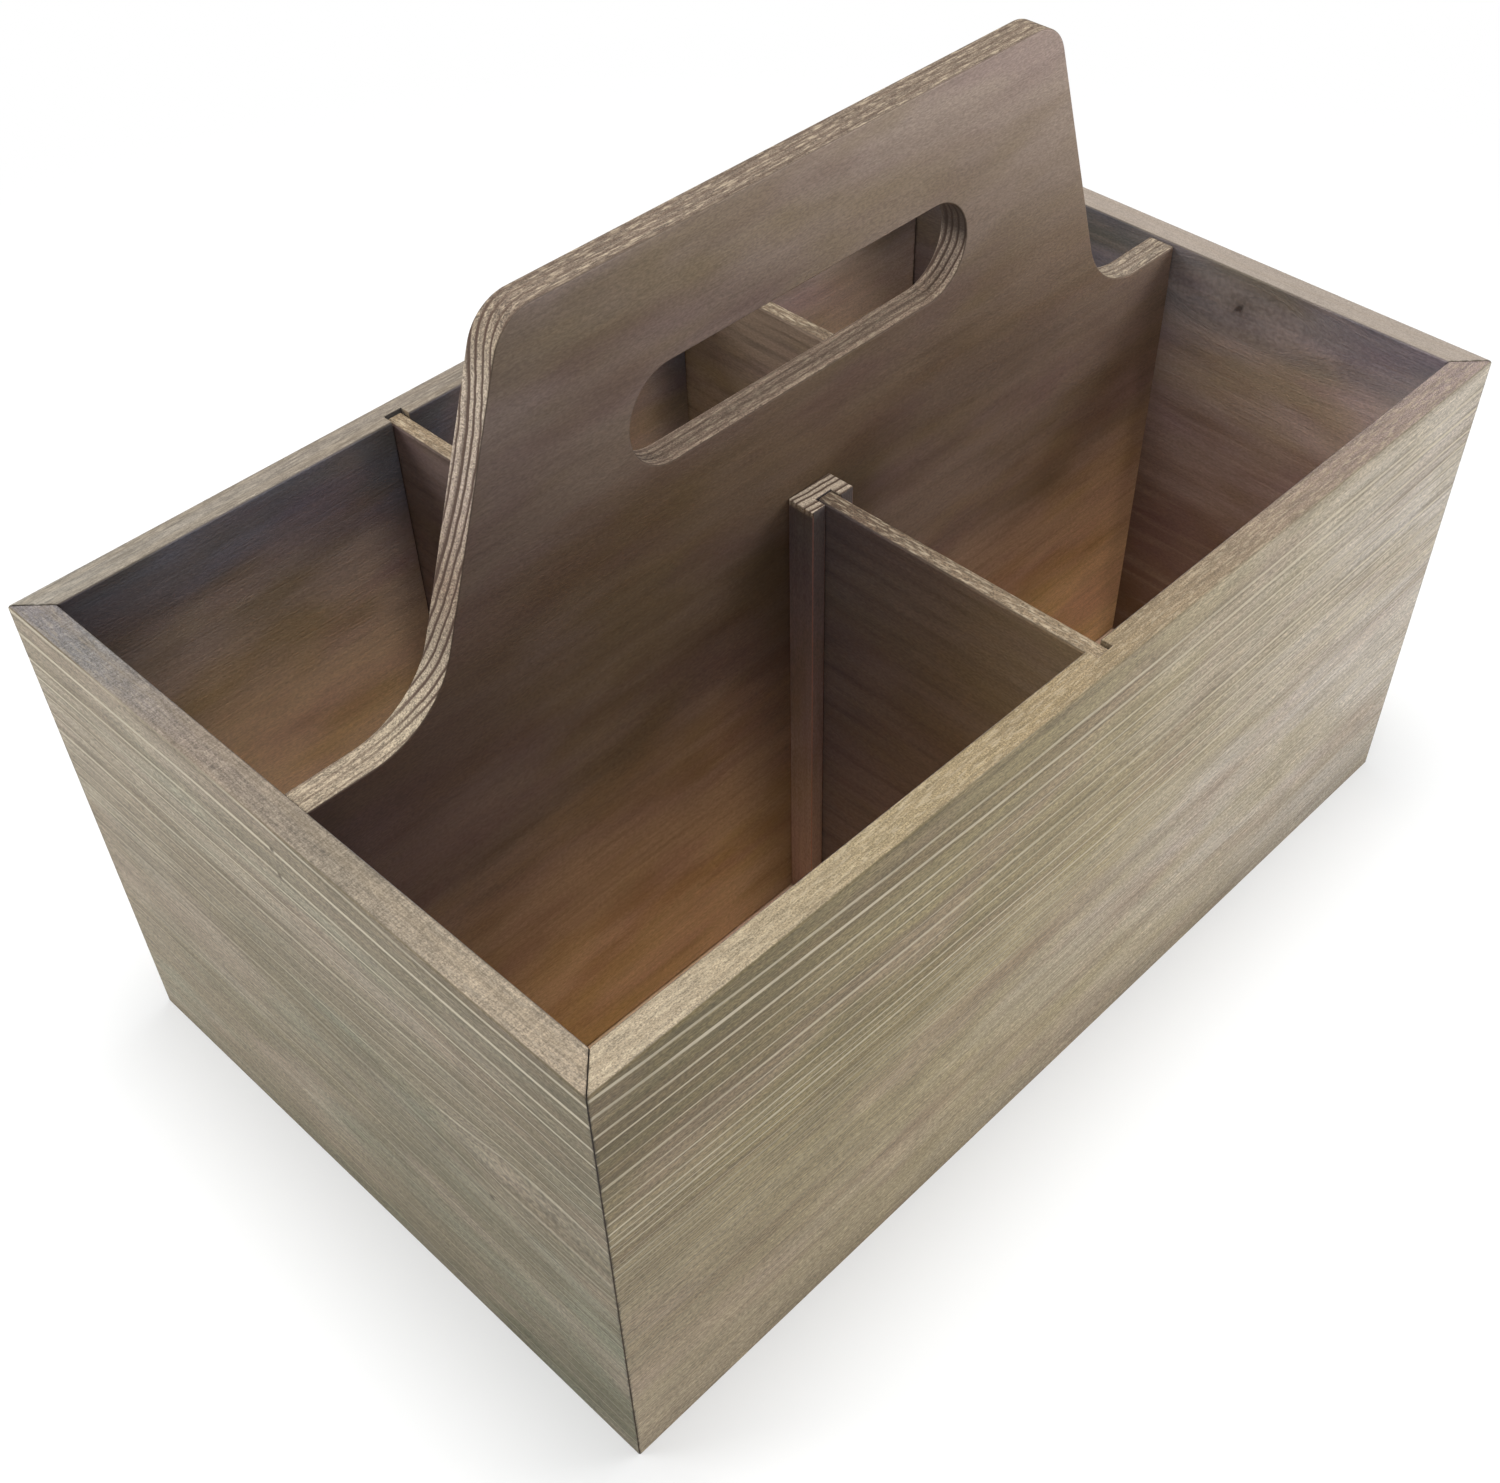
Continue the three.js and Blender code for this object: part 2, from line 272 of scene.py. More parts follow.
def growth_rings(tree, grain, wood):
    """The growth rings round the heart line: the distance from it, the rings in a mm, how far a point is
    through its ring and that ring's own chance number. A young tree grows wide rings and an old one
    narrow ones, and no two are equally wide or dark."""
    radius = add(tree, "VectorMath", {0: grain, 1: (0, 1, 1)}, operation="MULTIPLY")
    radius = add(tree, "VectorMath", {0: radius}, operation="LENGTH")
    first, wide, slower_from, narrow = wood["ring"]
    later = add(tree, "Math", {0: radius, 1: slower_from}, operation="SUBTRACT")
    later = add(tree, "Math", {0: later, 1: 0}, operation="MAXIMUM")
    count = add(tree, "Math", {0: radius, 1: 1 / wide, 2: first}, operation="MULTIPLY_ADD")
    count = add(tree, "Math", {0: later, 1: 1 / narrow - 1 / wide, 2: count}, operation="MULTIPLY_ADD")
    year = add(tree, "Math", {0: count, 1: YEAR_STEP_SHARE}, operation="MULTIPLY")
    year = add(tree, "TexNoise", {"W": year, "Scale": 1, "Detail": 1}, noise_dimensions="1D")
    count = add(tree, "Math", {0: year, 1: YEAR_REACH_SHARE, 2: count}, operation="MULTIPLY_ADD")
    rate = add(tree, "MapRange", {"Value": radius, "To": (1 / wide, 1 / narrow),
                                  "From": (slower_from - HALF_SLOWING, slower_from + HALF_SLOWING)})
    ring = add(tree, "Math", {0: count}, operation="FRACT")
    number = add(tree, "Math", {0: count}, operation="FLOOR")
    chance = add(tree, "TexWhiteNoise", {"W": number}, noise_dimensions="1D")
    return {"radius": radius, "rate": rate, "ring": ring, "chance": chance}


def read_grain(tree, wood):
    """What the colours of a board go by: its height in the caddy, the way a surface faces in it,
    its growth rings, and its fibres, pores and streaks. The grain's own directions are X along it,
    Y across it and Z out of the board's outer face, in mm from the heart line of the tree, which
    lies outside the board, so that faces, edges and end grain all cut the same rings."""
    along, through = Vector(wood["along"]), Vector(wood["through"])
    rows = Matrix((along, through.cross(along), through))
    turn = rows.to_euler()
    place = add(tree, "TexCoord", out=3)
    stick = add(tree, "Mapping", {"Vector": place, "Rotation": turn, "Scale": (1 / MM,) * 3,
                                  "Location": -(rows @ Vector(wood["heart"]))})
    facing = add(tree, "Mapping", {"Vector": add(tree, "TexCoord", out=1), "Rotation": turn},
                 vector_type="NORMAL")
    bent = bend_grain(tree, stick, wood, rows)
    drift = streaks(tree, stick, *SWAY_PATTERN, out=1)
    swayed = add(tree, "VectorMath", {0: drift, 1: (0, wood["sway"], wood["sway"]), 2: bent},
                 operation="MULTIPLY_ADD")
    shiver = streaks(tree, stick, *SHIVER_PATTERN, out=1)
    rings = add(tree, "VectorMath", {0: shiver, 1: (0, SHIVER, SHIVER), 2: swayed},
                operation="MULTIPLY_ADD")
    hue = add(tree, "SeparateColor", {0: streaks(tree, stick, *HUE_PATTERN, out=1)})
    grain = growth_rings(tree, rings, wood)
    grain |= {name: streaks(tree, swayed, *size) for name, size in SWAYING_PATTERNS.items()}
    grain |= {name: streaks(tree, stick, *size) for name, size in STRAIGHT_PATTERNS.items()}
    grain |= {
        "place": place, "height": add(tree, "SeparateXYZ", {0: place}, out=2),
        "ends": add(tree, "Math", {0: add(tree, "SeparateXYZ", {0: facing}, out=0)}, operation="ABSOLUTE"),
        "up": add(tree, "SeparateXYZ", {0: facing}, out=1),
        "out": add(tree, "SeparateXYZ", {0: facing}, out=2),
        "hue": hue, "other hue": hue.node.outputs[1],
    }
    grain["latewood"] = latewood(tree, grain, wood)
    return grain


LINE_WIDTH_SHARES = (0.6, 1.2)
LINE_END_SHARE = 0.95
LINE_SOFT_SHARE = 0.05


def latewood(tree, grain, wood):
    """The hard outer line of each ring, wide in some and narrow in others."""
    thin, thick = LINE_WIDTH_SHARES
    width = add(tree, "MapRange", {"Value": grain["chance"],
                                   "To": (-thin * wood["line_width"], -thick * wood["line_width"])})
    start = add(tree, "Math", {0: width, 1: grain["rate"], 2: LINE_END_SHARE}, operation="MULTIPLY_ADD")
    before = add(tree, "Math", {0: start, 1: LINE_SOFT_SHARE}, operation="SUBTRACT")
    rise = add(tree, "MapRange", {"Value": grain["ring"], "From": (before, start)},
               interpolation_type="SMOOTHSTEP")
    fall = add(tree, "MapRange", {"Value": grain["ring"],
                                  "From": (LINE_END_SHARE, LINE_END_SHARE - LINE_SOFT_SHARE)},
               interpolation_type="SMOOTHSTEP")
    return add(tree, "Math", {0: rise, 1: fall}, operation="MULTIPLY")


PATCH_REACH_SHARE = 0.9
HOLLOW_RING_SHARES = [
    (0, "#ffffff"), (0.1, "#000000"), (0.4, "#101010"), (0.8, "#ffffff"), (0.86, "#000000"),
    (0.94, "#000000"), (1, "#ffffff"),
]
HOLLOW_OLD_SHARE = 0.3
HOLLOW_OLD_REACH = 1.7
HOLLOW_CLOUD_SHARES = (0.35, 0.6)
HOLLOW_LEAST_SHARE = 0.3
LINE_WEAK_SHARE = 0.6
WORN_SHARES = (0.3, 0.55)
WORN_LEAST_SHARE = 0.45


def hollows(tree, grain, wood):
    """How deep the stain lies between the lines of two rings: deepest beside a line, less in narrow
    old rings, and patchy."""
    far = wood["line_fade"][1]
    most = wood["hollow_share"]
    hollow = add(tree, "ValToRGB", {"Fac": grain["ring"]}, stops=HOLLOW_RING_SHARES)
    kept = add(tree, "MapRange", {"Value": grain["radius"], "From": (far, HOLLOW_OLD_REACH * far),
                                  "To": (most, HOLLOW_OLD_SHARE * most)})
    patchy = add(tree, "MapRange", {"Value": grain["cloud"], "From": HOLLOW_CLOUD_SHARES,
                                    "To Min": HOLLOW_LEAST_SHARE})
    for part in (kept, patchy):
        hollow = add(tree, "Math", {0: hollow, 1: part}, operation="MULTIPLY")
    return hollow


def pale_lines(tree, grain, wood):
    """How strongly the latewood lines show: they fade out with their distance from the heart line, some
    rings are weaker, and here and there a line is rubbed away."""
    near, far, least = wood["line_fade"]
    most = wood["line_share"]
    shown = add(tree, "MapRange", {"Value": grain["radius"], "From": (near, far), "To": (1, least)})
    strong = add(tree, "MapRange", {"Value": grain["chance"], "To": (LINE_WEAK_SHARE * most, most)})
    wear_and_highlight = add(tree, "MapRange", {"Value": grain["wisp"], "From": WORN_SHARES,
                                  "To Min": WORN_LEAST_SHARE})
    share = grain["latewood"]
    for part in (shown, strong, wear_and_highlight):
        share = add(tree, "Math", {0: share, 1: part}, operation="MULTIPLY")
    return share


def face_colour(tree, grain, wood):
    """An outer face: cloudy stain in changing hues, brushed fibres, and pale latewood lines with dark
    hollows between them that fade in and out along their length."""
    # On the front and left faces the drift and some of the leans are painted light and shade.
    drift = lean(tree, grain, wood["drift"], wood["drift_from"])
    cloud = add(tree, "Math", {0: grain["patch"], 1: PATCH_REACH_SHARE, 2: drift}, operation="MULTIPLY_ADD")
    face = add(tree, "ValToRGB", {"Fac": cloud}, stops=wood["face_shares"])
    for pattern, (code, most) in zip(("hue", "other hue"), wood["hue_shares"]):
        face = tint(tree, face, code, grain[pattern], *FLECK_SHARES, most)
    for code, slope, start, most in wood["leans"]:
        face = tint(tree, face, code, lean(tree, grain, slope, start), 0, 1, most)
    for code, low, high, most in wood["streak_shares"]:
        face = tint(tree, face, code, grain["streak"], low, high, most)
    for pattern, reach in wood["brushed_shares"]:
        face = speckle(tree, face, grain[pattern], reach)
    face = cover(tree, face, wood["under_line"], hollows(tree, grain, wood))
    return cover(tree, face, wood["line"], pale_lines(tree, grain, wood))


CORNER_SHADE_CORE = 4
CORNER_SHADE_WAVER = 12


def corner_shade_share(tree, grain, wood, corners):
    """How much painted shade a point gets near the upright corner of a compartment, where shade falls.
    Each corner is given by its place along the board, by how far its shade reaches and by how dark it gets."""
    along = Vector(wood["along"]) / MM
    along = add(tree, "VectorMath", {0: grain["place"], 1: along}, operation="DOT_PRODUCT")
    waver = add(tree, "Math", {0: grain["patch"], 1: CORNER_SHADE_WAVER, 2: -CORNER_SHADE_WAVER / 2},
                operation="MULTIPLY_ADD")
    nearness = 0.0
    for place, reach, most in corners:
        off = add(tree, "Math", {0: along, 1: place}, operation="SUBTRACT")
        off = add(tree, "Math", {0: off}, operation="ABSOLUTE")
        off = add(tree, "Math", {0: off, 1: waver}, operation="ADD")
        near = add(tree, "MapRange", {"Value": off, "From": (reach, CORNER_SHADE_CORE), "To Max": most},
                   interpolation_type="SMOOTHSTEP")
        nearness = add(tree, "Math", {0: near, 1: nearness}, operation="MAXIMUM")
    return nearness


SHOULDER_TOP = 153
COVER_ABOVE = 8
COVER_BELOW = 12


def both_corners(tree, grain, wood):
    """The painted shade in the upright corner of each compartment that a board faces. A board in the middle
    of the box faces compartments on its back too, and above its shoulders it stands free and gets none."""
    corner = corner_shade_share(tree, grain, wood, wood["corners"])
    if not wood["back_corners"]:
        return corner
    behind = corner_shade_share(tree, grain, wood, wood["back_corners"])
    turned = add(tree, "Math", {0: grain["out"], 1: 0}, operation="LESS_THAN")
    corner = add(tree, "Mix", {"Factor": turned, "A": corner, "B": behind})
    covered = add(tree, "MapRange", {"Value": grain["height"], "From": (
        (SHOULDER_TOP + COVER_ABOVE) * MM, (SHOULDER_TOP - COVER_BELOW) * MM)})
    return add(tree, "Math", {0: corner, 1: covered}, operation="MULTIPLY")


INSIDE_HUES = {"hue": "#f0e8f2", "other hue": "#f0eed8"}
INSIDE_HUE_SHARES = (0.46, 0.66)
WISP_SHARES = (0.5, 0.75)
INSIDE_RING_SHARES = [(0, "#000000"), (0.3, "#000000"), (0.85, "#ffffff"), (1, "#000000")]
LEAST_PAINTED_LIGHT_SHARE = 0.5


def inside_colour(tree, grain, wood):
    """A face inside a compartment. On most faces the tones get darker and cooler towards the open top,
    and the pale warm tones low down are painted light, standing in for light bounced up from the
    compartment floor. Near the upright corner of a compartment it is darkened with painted shade, and
    on some boards a painted light makes it lighter towards one end."""
    low, high = wood["inside"][0][0], wood["inside"][-1][0]
    stops = [((at - low) / (high - low), code) for at, code in wood["inside"]]
    level = add(tree, "MapRange", {"Value": grain["height"], "From": (low * MM, high * MM)})
    corner = both_corners(tree, grain, wood)
    for pattern, reach in wood["inside_cloud_shares"]:
        shift = add(tree, "Math", {0: grain[pattern], 1: NOISE_MIDDLE_SHARE}, operation="SUBTRACT")
        level = add(tree, "Math", {0: shift, 1: reach, 2: level}, operation="MULTIPLY_ADD")
    # The painted corner shade also shifts the tone towards that of higher up, which is darker and cooler.
    level = add(tree, "Math", {0: corner, 1: wood["corner_shade_rise_share"], 2: level}, operation="MULTIPLY_ADD")
    face = add(tree, "ValToRGB", {"Fac": level}, stops=stops)
    for pattern, code in INSIDE_HUES.items():
        share = add(tree, "MapRange", {"Value": grain[pattern], "From": INSIDE_HUE_SHARES})
        face = add(tree, "Mix", {"Factor": share, "A": face, "B": colour(code)}, data_type="RGBA",
                   blend_type="MULTIPLY")
    face = tint(tree, face, wood["wisp"], grain["wisp"], *WISP_SHARES, wood["wisp_share"])
    # Some of these tints are painted shade, dark beside an end wall or a cleat.
    for code, slope, start, most in wood["inside_tints_and_shade"]:
        face = tint(tree, face, code, lean(tree, grain, slope, start), 0, 1, most)
    band = add(tree, "ValToRGB", {"Fac": grain["ring"]}, stops=INSIDE_RING_SHARES)
    band = add(tree, "Math", {0: band, 1: wood["inside_line_share"]}, operation="MULTIPLY")
    face = cover(tree, face, wood["inside_line"], band)
    for pattern, reach in wood["inside_brushed_shares"]:
        face = speckle(tree, face, grain[pattern], reach)
    # Painted light and shade scale the colour: lighter towards one end on some boards, and darker near each
    # compartment's upright corner.
    dark = add(tree, "Math", {0: 1, 1: corner}, operation="SUBTRACT")
    painted_light = lean(tree, grain, wood["inside_light_slope"], wood["inside_light_slope_from"])
    painted_light = add(tree, "Math", {0: painted_light, 1: LEAST_PAINTED_LIGHT_SHARE}, operation="MAXIMUM")
    painted_light = add(tree, "Math", {0: painted_light, 1: dark}, operation="MULTIPLY")
    return add(tree, "VectorMath", {0: face, "Scale": painted_light}, operation="SCALE")


KNOT_SHARES = [
    (0, "#ffffff"), (0.16, "#ffffff"), (0.3, "#9a9a9a"), (0.5, "#606060"), (0.62, "#8a8a8a"),
    (0.8, "#303030"), (1, "#000000"),
]
KNOT_ROUGH_SCALE = 1.4
KNOT_ROUGH_REACH = 1.2
KNOT_REACHES = (0.5, 2.5)
PIN_KNOT_EDGE = 1.1
PIN_KNOT_CORE = 0.4
PIN_KNOT_SHARE = 0.8


def knot_marks(tree, grain, wood, face):
    """The knots themselves: a small dark heart in a broken dark ring. A pin knot is one dark dot."""
    for middle, size, reach, push in wood["knots"]:
        off = add(tree, "VectorMath", {0: grain["place"], 1: Vector(middle) * MM}, operation="SUBTRACT")
        off = add(tree, "VectorMath", {0: off, "Scale": 1 / (size * MM)}, operation="SCALE")
        rough = add(tree, "TexNoise", {"Vector": off, "Scale": KNOT_ROUGH_SCALE, "Detail": 2})
        away = add(tree, "VectorMath", {0: off}, operation="LENGTH")
        away = add(tree, "Math", {0: rough, 1: KNOT_ROUGH_REACH, 2: away}, operation="MULTIPLY_ADD")
        marks = add(tree, "MapRange", {"Value": away, "From": KNOT_REACHES})
        marks = add(tree, "ValToRGB", {"Fac": marks}, stops=KNOT_SHARES)
        face = tint(tree, face, wood["knot"], marks, 0, 1, wood["knot_share"])
    for middle in wood["pin_knots"]:
        away = add(tree, "VectorMath", {0: grain["place"], 1: Vector(middle) * MM}, operation="DISTANCE")
        face = tint(tree, face, wood["knot"], away, PIN_KNOT_EDGE * MM, PIN_KNOT_CORE * MM, PIN_KNOT_SHARE)
    return face


EDGE_RING_SHARES = [(0, "#000000"), (0.5, "#000000"), (0.74, "#ffffff"), (0.9, "#ffffff"), (1, "#000000")]
END_GRAIN_SHARES = (0.1, 0.7)
UNDERSIDE_SHADE_SHARES = (0.3, -0.1)


def edge_colour(tree, grain, wood):
    """A sanded narrow edge: pale, with fibres and pits, marked across by the saw, and with a dark line
    for every ring where the cut runs across the grain. Edges that face down, and less so those that face
    sideways, are darkened with painted shade."""
    reach = lean(tree, grain, wood["edge_slope"], wood["edge_from"])
    edge = add(tree, "ValToRGB", {"Fac": reach}, stops=wood["edge_shares"])
    for pattern, most in wood["pitted_shares"]:
        edge = speckle(tree, edge, grain[pattern], most)
    for pattern, code, most in wood["fleck_shares"]:
        edge = tint(tree, edge, code, grain[pattern], *FLECK_SHARES, most)
    line = add(tree, "MapRange", {"Value": grain["ends"], "From": END_GRAIN_SHARES,
                                  "To": (wood["edge_line_share"], wood["end_line_share"])})
    wide = add(tree, "ValToRGB", {"Fac": grain["ring"]}, stops=EDGE_RING_SHARES)
    line = add(tree, "Math", {0: line, 1: wide}, operation="MULTIPLY")
    edge = cover(tree, edge, wood["ring_line"], line)
    return tint(tree, edge, wood["underside_shade"], grain["up"], *UNDERSIDE_SHADE_SHARES, wood["underside_shade_share"])


GLUE_BROWN = "#2b241c"
CRUMBS_PER_MM = 0.7
CRUMB_SHARES = (0.35, 0.65)
SEAM_REACHES = (0.2, 0.7)
SEAM_SHARE = 0.85


def mitre_share(tree, grain):
    """Dark glue and dirt in the fine mitre seams, wider and narrower from place to place."""
    folded = add(tree, "VectorMath", {0: grain["place"]}, operation="ABSOLUTE")
    across = Vector((1, -1, 0)).normalized() / MM
    seam = (CADDY_LENGTH - CADDY_WIDTH) / 2 / math.sqrt(2)
    off = add(tree, "VectorMath", {0: folded, 1: across}, operation="DOT_PRODUCT")
    off = add(tree, "Math", {0: off, 1: seam}, operation="SUBTRACT")
    off = add(tree, "Math", {0: off}, operation="ABSOLUTE")
    crumbs = add(tree, "VectorMath", {0: grain["place"], "Scale": CRUMBS_PER_MM / MM}, operation="SCALE")
    crumbs = add(tree, "TexNoise", {"Vector": crumbs, "Scale": 1, "Detail": 1})
    reach = add(tree, "MapRange", {"Value": crumbs, "From": CRUMB_SHARES, "To": SEAM_REACHES})
    return add(tree, "MapRange", {"Value": off, "From": (MITRE_LINE, reach), "To": (SEAM_SHARE, 0)})


OUT_FACING_SHARES = (0.3, -0.3)
EDGE_FACING_SHARES = (0.8, 0.45)
ARRIS_FLAT_SHARES = (0.97, 0.85)
ARRIS_STEEP_SHARES = (0.45, 0.65)
SANDED_FADE = 1
FOOT_FADE = (1.5, 0.5)


def arris_lines(tree, wood, tone, flat, sanded):
    """A thin dark line lies along each sanded arris, and the others get a pale painted highlight where
    their rounding catches the light.
    """
    arris = add(tree, "MapRange", {"Value": flat, "From": ARRIS_FLAT_SHARES})
    beyond = add(tree, "MapRange", {"Value": flat, "From": ARRIS_STEEP_SHARES})
    for part in (beyond, wood["arris_share"]):
        arris = add(tree, "Math", {0: arris, 1: part}, operation="MULTIPLY")
    line = cover(tree, colour(wood["wear_and_highlight"]), wood["arris"], sanded)
    return cover(tree, tone, line, arris)


LINE_PROUD_SHARE = 0.6
PROUD_SHARES = {"fibre": 0.8, "pore": 0.5}
BRUSHED_SHARE = 0.6
BRUSHED_DEPTH = 0.2


def brushed_relief(tree, grain, inward):
    """Fibres and pores stand proud of the softer wood, and so does latewood where a face was brushed."""
    proud = add(tree, "MapRange", {"Value": inward, "To": (LINE_PROUD_SHARE, 0)})
    relief = add(tree, "Math", {0: grain["latewood"], 1: proud}, operation="MULTIPLY")
    for pattern, share in PROUD_SHARES.items():
        relief = add(tree, "Math", {0: grain[pattern], 1: share, 2: relief}, operation="MULTIPLY_ADD")
    return add(tree, "Bump", {"Strength": BRUSHED_SHARE, "Distance": BRUSHED_DEPTH * MM, "Height": relief})


MATT_SHARES = (0.55, 0.8)
WOOD_IOR = 1.45
WOOD_SHINE_SHARE = 0.35


def stained_softwood(name, wood):
    """Softwood, planed and brushed, with a matt weathered grey-brown stain: cloudy and uneven, drunk in
    by the soft wood and kept off by the hard pale line of each ring."""
    material = bpy.data.materials.new(name)
    material.use_nodes = True
    tree = material.node_tree
    tree.nodes.clear()
    grain = read_grain(tree, wood)
    inside = inside_colour(tree, grain, wood)
    inward = 1.0 if wood["both_sides_inside"] else add(
        tree, "MapRange", {"Value": grain["out"], "From": OUT_FACING_SHARES})
    face = cover(tree, face_colour(tree, grain, wood), inside, inward)
    face = knot_marks(tree, grain, wood, face)

    # Edges are sanded pale down to the height where the glue-up hides them, and so is the foot
    flat = add(tree, "Math", {0: grain["out"]}, operation="ABSOLUTE")
    edge_share = add(tree, "MapRange", {"Value": flat, "From": EDGE_FACING_SHARES})
    start = wood["sanded_from"]
    sanded = add(tree, "MapRange", {"Value": grain["height"],
                                    "From": ((start - SANDED_FADE) * MM, start * MM)})
    above, below = FOOT_FADE
    foot = add(tree, "MapRange", {"Value": grain["height"], "From": (above * MM, below * MM)})
    sanded = add(tree, "Math", {0: sanded, 1: foot}, operation="MAXIMUM")
    edge = cover(tree, inside, edge_colour(tree, grain, wood), sanded)
    tone = cover(tree, face, edge, edge_share)
    tone = arris_lines(tree, wood, tone, flat, sanded)
    if wood["mitred"]:
        tone = cover(tree, tone, GLUE_BROWN, mitre_share(tree, grain))

    matt = add(tree, "MapRange", {"Value": grain["fibre"], "To": MATT_SHARES})
    shader = add(tree, "BsdfPrincipled", {"Base Color": tone, "Roughness": matt,
                                          "Normal": brushed_relief(tree, grain, inward),
                                          "IOR": WOOD_IOR, "Specular IOR Level": WOOD_SHINE_SHARE})
    tree.links.new(shader, tree.nodes.new("ShaderNodeOutputMaterial").inputs["Surface"])
    return material


# The wood that the four walls share. Face colours go by shares of a stain pattern, those inside by the
# height in mm. A lean is a colour that comes up over the caddy: its slope per metre, where it starts
# and the most that it covers. A ring says how far through the first one the heart line lies, how wide
# the early rings are, how far from the heart they get narrow, and how wide they are there. A knot says
# its middle, its size, and how far and how strongly it pushes the grain aside. Lengths are in mm.
wall_wood = {
    "bow": (0, 0), "sway": 6, "knots": [], "pin_knots": [], "knot": "#4a3c30", "knot_share": 0.4,
    "face_shares": [(0, "#766a4e"), (0.3, "#918361"), (0.6, "#ac9d7e"), (0.85, "#bdb09c"), (1, "#cbc1b5")],
    "drift": (0, 0, 0), "drift_from": 0, "leans": [],
    "hue_shares": [("#a3946a", 0.35), ("#a98f80", 0.35)],
    "streak_shares": [("#b3a588", 0.5, 0.7, 0.25), ("#7d6853", 0.46, 0.3, 0.35)],
    "brushed_shares": [("fibre", 0.26), ("pore", 0.34)],
    "line": "#e0d5bc", "line_share": 1, "line_width": 0.6, "line_fade": (56, 80, 0.12),
    "under_line": "#5e5340", "hollow_share": 0.6,

    "edge_shares": [(0, "#847e74"), (0.25, "#7f766b"), (1, "#85796f")],
    "edge_slope": (3, 0, 0), "edge_from": 0.5,
    "pitted_shares": [("fibre", 0.3), ("grit", 0.45)],
    "fleck_shares": [("chip", "#c3b59a", 0.35), ("pore", "#6f6048", 0.35)],
    "ring_line": "#8a7a62", "edge_line_share": 0.15, "end_line_share": 0.8,
    "underside_shade": "#4a3c33", "underside_shade_share": 0, "sanded_from": 151,
    # The pale arris colour below the sanded tops is a painted highlight on the eased arrises.
    "wear_and_highlight": "#b39180", "arris": "#5a4e3a", "arris_share": 0.5, "mitred": True,

    # Inside, the tones get darker and cooler towards the open top; the pale warm tones low down are painted
    # light, standing in for light bounced up from the compartment floor.
    "inside": [(5, "#e6d0b2"), (60, "#e2caac"), (85, "#dac2a6"), (105, "#c6b19e"), (126, "#a7978f"),
               (142, "#838086"), (154, "#747684")],
    "inside_light_slope": (0, 0, 0), "inside_light_slope_from": 1, "inside_tints_and_shade": [],
    "inside_cloud_shares": [("streak", 0.15), ("patch", 0.45), ("cloud", 0.15)],
    "inside_brushed_shares": [("pore", 0.14), ("fibre", 0.08)],
    "inside_line": "#5e4838", "inside_line_share": 0.06, "wisp": "#4d3b30", "wisp_share": 0.1,
    # Darkening towards each compartment's upright corner is painted shade.
    "corner_shade_rise_share": 0.3, "back_corners": (), "both_sides_inside": False,
}

[front_place] = row_places(1)
back_places = row_places(2)
inner_half_length = INNER_LENGTH / 2
inner_half_width = CADDY_WIDTH / 2 - WALL_THICKNESS
front_wood = dict(
    wall_wood, along=(1, 0, 0), through=(0, -1, 0), heart=(0, -87.5, 157), ring=(0.55, 4.2, 62, 2.1),
    # On this face the drift is painted light, paler towards the far right end and towards the foot; of the
    # leans, the pale one at the upper right is painted light and the dark one at the upper left painted
    # shade.
    bow=(80, -0.00015), sway=4, drift=(2.2, 0, -1.2), drift_from=0.25,
    line="#d6cab2", line_share=0.9, line_fade=(62, 100, 0.15), hollow_share=0.5,
    leans=[("#b3a294", (-4, 0, -6), 0.14, 0.6), ("#cbc1b5", (4, 0, 4), -0.5, 0.5),
           ("#7d6f58", (2, 0, -14), 0.3, 0.9), ("#574b36", (-6, 0, 8), -1.35, 0.5)],
    edge_shares=[(0, "#9d8f79"), (0.08, "#9b8d77"), (0.26, "#8e7f62"), (0.44, "#89785b"), (0.62, "#82725e"),
                 (0.8, "#817167"), (1, "#8a7b77")],
    corners=((front_place, 24, 0.3),),
)
finish_piece(
    wall_board(CADDY_LENGTH, [front_place]), "front_wall_board", (0, -CADDY_WIDTH / 2, 0), 0,
    "caddy_frame", "front_wall", "brushed stained softwood, front wall", front_wood,
)
back_wood = dict(
    wall_wood, along=(1, 0, 0), through=(0, 1, 0), heart=(0, 60, 182), ring=(0, 4.4, 90, 2.6),
    drift=(1.5, 0, 0), drift_from=0.1, line_fade=(60, 150, 0.3),
    pitted_shares=[("fibre", 0.35), ("grit", 0.2)],
    fleck_shares=[("wisp", "#6c6152", 0.4), ("chip", "#b9ae9c", 0.3)],
    # Inside as on the front wall: the pale warm tones low down are painted bounce light.
    inside=[(5, "#e6d0b2"), (60, "#e2caac"), (85, "#d8c0a4"), (105, "#c2ad9a"), (126, "#a8988f"),
            (142, "#85797a"), (154, "#75757f")],
    # Inside, painted light makes it lighter towards the right end, and the dark tint at the left end is
    # painted shade by the end wall.
    inside_light_slope=(1.6, 0, 0), inside_light_slope_from=1.28, inside_tints_and_shade=[("#3c3434", (-20, 0, 0), -2.5, 0.8)],
    inside_cloud_shares=[("streak", 0.08), ("patch", 0.3), ("cloud", 0.08)],
    corners=((back_places[0], 20, 0.3), (back_places[1], 24, 0.55), (inner_half_length, 40, 0.4)),
)
finish_piece(
    wall_board(CADDY_LENGTH, [-place for place in back_places]), "back_wall_board",
    (0, CADDY_WIDTH / 2, 0), math.pi, "caddy_frame", "back_wall",
    "brushed stained softwood, back wall", back_wood,
)

